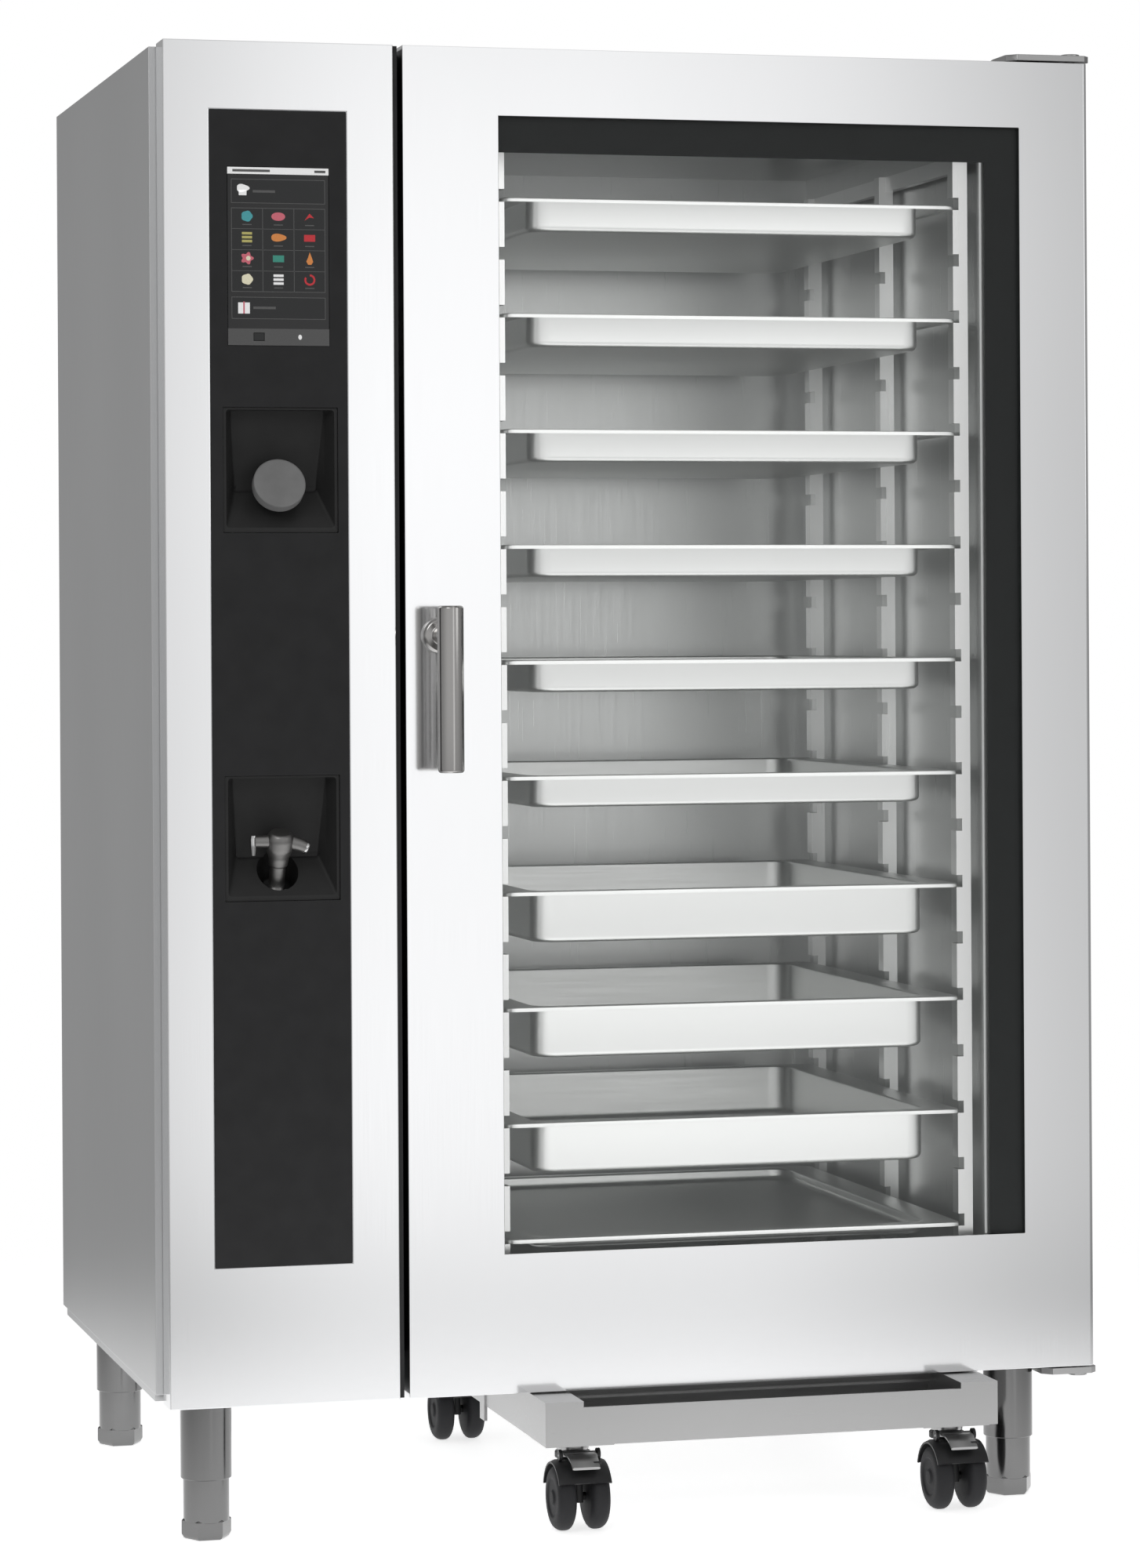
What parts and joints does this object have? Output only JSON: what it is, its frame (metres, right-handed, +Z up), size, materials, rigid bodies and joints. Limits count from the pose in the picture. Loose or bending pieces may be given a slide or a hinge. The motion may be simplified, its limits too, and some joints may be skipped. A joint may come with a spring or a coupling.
{
  "type": "combi steamer oven",
  "caption": "Free-standing roll-in combi steamer oven: steel cabinet on legs, glazed right-hung door, control column with touch screen, knob and hand shower, docked rack trolley with pans.",
  "frame": {"origin": "centre of the oven's bounding box on the floor", "axes": "+Z up, the door and the control panel face -Y, the control column is on the -X side"},
  "size_m": [1.197, 0.902, 1.823],
  "materials": {
    "brushed_steel": "fine vertical brushing, satin",
    "casing_steel": "satin stainless, mid grey",
    "cavity_steel": "smooth stainless",
    "pan_steel": "bright pressed stainless",
    "trolley_steel": "brushed stainless, horizontal",
    "leg_steel": "turned stainless",
    "chrome": "polished",
    "panel_black": "satin black",
    "castor_black": "moulded nylon",
    "castor_tyre": "soft grey-black tread",
    "knob_grey": "fine texture",
    "screen": "display cover, gloss",
    "glass": "clear",
    "gasket": "silicone",
    "motor_paint": "semi-matt"
  },
  "bodies": {
    "cabinet": {"column_fascia": "brushed_steel", "steam_vent": "brushed_steel", "left_side_panel": "casing_steel", "right_side_panel": "casing_steel", "top_panel": "casing_steel", "rear_panel": "casing_steel", "base_frame": "casing_steel", "heating_element": "casing_steel", "cavity_liner": "cavity_steel", "fan_baffle": "cavity_steel", "steam_boiler": "cavity_steel", "rack_left_side": "cavity_steel", "rack_right_side": "cavity_steel", "pan_1": "pan_steel", "pan_2": "pan_steel", "pan_3": "pan_steel", "pan_4": "pan_steel", "pan_5": "pan_steel", "pan_6": "pan_steel", "pan_7": "pan_steel", "pan_8": "pan_steel", "pan_9": "pan_steel", "pan_10": "pan_steel", "trolley_base": "trolley_steel", "hinge_bracket_top": "trolley_steel", "hinge_bracket_bottom": "trolley_steel", "leg_front_left": "leg_steel", "leg_front_right": "leg_steel", "leg_rear_left": "leg_steel", "leg_rear_right": "leg_steel", "control_panel": "panel_black", "knob_recess": "panel_black", "shower_recess": "panel_black", "column_edge_strip": "panel_black", "touch_screen": "screen", "door_gasket": "gasket", "fan_motor": "motor_paint"},
    "door": {"door_frame": "brushed_steel", "door_outer_glass": "glass", "door_inner_frame": "cavity_steel", "door_inner_glass": "glass"},
    "handle": {"door_handle": "leg_steel"},
    "knob_push": {"encoder_shaft": "chrome"},
    "knob": {"selector_knob": "knob_grey"},
    "shower": {"hand_shower": "chrome"},
    "fan": {"fan_wheel": "cavity_steel"},
    "foot_front_left": {"foot_front_left": "leg_steel"},
    "castor_front_left": {"castor_swivel_front_left": "castor_black"},
    "castor_front_left_wheels": {"castor_wheels_front_left": "castor_tyre"},
    "foot_front_right": {"foot_front_right": "leg_steel"},
    "castor_front_right": {"castor_swivel_front_right": "castor_black"},
    "castor_front_right_wheels": {"castor_wheels_front_right": "castor_tyre"},
    "foot_rear_left": {"foot_rear_left": "leg_steel"},
    "castor_rear_left": {"castor_swivel_rear_left": "castor_black"},
    "castor_rear_left_wheels": {"castor_wheels_rear_left": "castor_tyre"},
    "foot_rear_right": {"foot_rear_right": "leg_steel"},
    "castor_rear_right": {"castor_swivel_rear_right": "castor_black"},
    "castor_rear_right_wheels": {"castor_wheels_rear_right": "castor_tyre"},
    "pedal_front_left": {"brake_pedal_front_left": "trolley_steel"},
    "pedal_front_right": {"brake_pedal_front_right": "trolley_steel"}
  },
  "joints": [
    {"name": "door_hinge", "type": "hinge", "parent": "cabinet", "child": "door", "pos_m": [0.5785, -0.348, 0.986], "axis": [0, 0, 1], "range_deg": [0, 120]},
    {"name": "handle_turn", "type": "hinge", "parent": "door", "child": "handle", "pos_m": [-0.2525, -0.43, 1.091], "axis": [0, 1, 0], "range_deg": [-50, 50]},
    {"name": "knob_press", "type": "slide", "parent": "cabinet", "child": "knob_push", "axis": [0, 0.9205, -0.3907], "range_m": [0, 0.0015], "stiffness_N_per_m": 1500, "springref_m": -0.002},
    {"name": "knob_turn", "type": "hinge", "parent": "knob_push", "child": "knob", "pos_m": [-0.4495, -0.372, 1.277], "axis": [0, -0.9205, 0.3907], "continuous": true},
    {"name": "shower_pull", "type": "slide", "parent": "cabinet", "child": "shower", "axis": [0, -0.4226, 0.9063], "range_m": [0, 0.13]},
    {"name": "fan_spin", "type": "hinge", "parent": "cabinet", "child": "fan", "pos_m": [-0.2395, 0.055, 0.97], "axis": [1, 0, 0], "continuous": true},
    {"name": "foot_front_left_turn", "type": "hinge", "parent": "cabinet", "child": "foot_front_left", "pos_m": [-0.5395, -0.331, 0.02], "axis": [0, 0, 1], "continuous": true},
    {"name": "foot_front_right_turn", "type": "hinge", "parent": "cabinet", "child": "foot_front_right", "pos_m": [0.4905, -0.331, 0.02], "axis": [0, 0, 1], "continuous": true},
    {"name": "foot_rear_left_turn", "type": "hinge", "parent": "cabinet", "child": "foot_rear_left", "pos_m": [-0.5395, 0.333, 0.02], "axis": [0, 0, 1], "continuous": true},
    {"name": "foot_rear_right_turn", "type": "hinge", "parent": "cabinet", "child": "foot_rear_right", "pos_m": [0.4905, 0.333, 0.02], "axis": [0, 0, 1], "continuous": true},
    {"name": "castor_front_left_swivel", "type": "hinge", "parent": "cabinet", "child": "castor_front_left", "pos_m": [-0.0945, -0.385, 0.095], "axis": [0, 0, 1], "continuous": true},
    {"name": "castor_front_left_roll", "type": "hinge", "parent": "castor_front_left", "child": "castor_front_left_wheels", "pos_m": [-0.0945, -0.41, 0.04], "axis": [1, 0, 0], "continuous": true},
    {"name": "castor_front_right_swivel", "type": "hinge", "parent": "cabinet", "child": "castor_front_right", "pos_m": [0.3895, -0.385, 0.095], "axis": [0, 0, 1], "continuous": true},
    {"name": "castor_front_right_roll", "type": "hinge", "parent": "castor_front_right", "child": "castor_front_right_wheels", "pos_m": [0.3895, -0.41, 0.04], "axis": [1, 0, 0], "continuous": true},
    {"name": "castor_rear_left_swivel", "type": "hinge", "parent": "cabinet", "child": "castor_rear_left", "pos_m": [-0.0945, 0.264, 0.095], "axis": [0, 0, 1], "continuous": true},
    {"name": "castor_rear_left_roll", "type": "hinge", "parent": "castor_rear_left", "child": "castor_rear_left_wheels", "pos_m": [-0.0945, 0.239, 0.04], "axis": [1, 0, 0], "continuous": true},
    {"name": "castor_rear_right_swivel", "type": "hinge", "parent": "cabinet", "child": "castor_rear_right", "pos_m": [0.3895, 0.264, 0.095], "axis": [0, 0, 1], "continuous": true},
    {"name": "castor_rear_right_roll", "type": "hinge", "parent": "castor_rear_right", "child": "castor_rear_right_wheels", "pos_m": [0.3895, 0.239, 0.04], "axis": [1, 0, 0], "continuous": true},
    {"name": "pedal_front_left_press", "type": "hinge", "parent": "castor_front_left", "child": "pedal_front_left", "pos_m": [-0.0945, -0.415, 0.092], "axis": [1, 0, 0], "range_deg": [0, 10]},
    {"name": "pedal_front_right_press", "type": "hinge", "parent": "castor_front_right", "child": "pedal_front_right", "pos_m": [0.3895, -0.415, 0.092], "axis": [1, 0, 0], "range_deg": [0, 10]}
  ]
}
